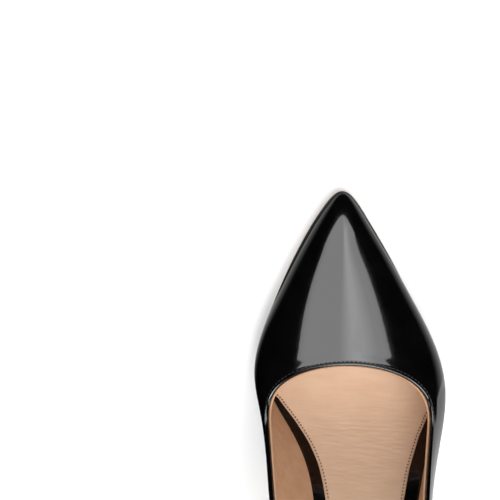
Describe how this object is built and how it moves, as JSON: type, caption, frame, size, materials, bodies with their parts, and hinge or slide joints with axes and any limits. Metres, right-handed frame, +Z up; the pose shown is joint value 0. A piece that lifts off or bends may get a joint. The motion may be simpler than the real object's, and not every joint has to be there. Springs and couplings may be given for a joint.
{
  "type": "high heel pump",
  "caption": "Right-foot pump with a pointed toe, a low-cut patent leather upper, a bound and stitched top line, a padded foot bed and a thin covered high heel.",
  "frame": {"origin": "on the ground, under the middle of the shoe's box", "axes": "+Y points from the toe to the heel, +X to the inner (medial) side of the right foot, +Z up"},
  "size_m": [0.0789, 0.218, 0.1411],
  "materials": {
    "patent_leather": "gloss",
    "sole_leather": "satin",
    "sock_leather": "satin",
    "lining_leather": "matt",
    "suede": "matt",
    "cork": "matt",
    "fibre_board": "matt",
    "hard_board": "matt",
    "foam": "matt",
    "stiffener": "matt",
    "backing_cloth": "matt",
    "tape": "matt",
    "sock_thread": "satin",
    "black_thread": "satin",
    "heel_plastic": "matt",
    "top_piece_plastic": "matt",
    "spring_steel": "satin",
    "bright_steel": "satin"
  },
  "bodies": {
    "root": {"outsole": "sole_leather", "bottom_filler": "cork", "insole_board": "fibre_board", "shank": "spring_steel", "shank_rivets": "bright_steel", "shank_board": "hard_board", "footbed_foam": "foam", "footbed_cover": "patent_leather", "sock_lining": "sock_leather", "sock_stitching": "sock_thread", "upper": "patent_leather", "upper_backing": "backing_cloth", "toe_puff": "stiffener", "heel_counter": "stiffener", "vamp_lining": "lining_leather", "quarter_lining_medial": "lining_leather", "quarter_lining_lateral": "lining_leather", "heel_grip": "suede", "topline_tape": "tape", "topline_binding": "patent_leather", "topline_stitching": "black_thread", "heel": "heel_plastic", "heel_cover": "patent_leather", "heel_tube": "bright_steel", "heel_screw": "bright_steel", "heel_nails": "bright_steel", "top_piece": "top_piece_plastic", "top_piece_pin": "bright_steel"}
  },
  "joints": []
}
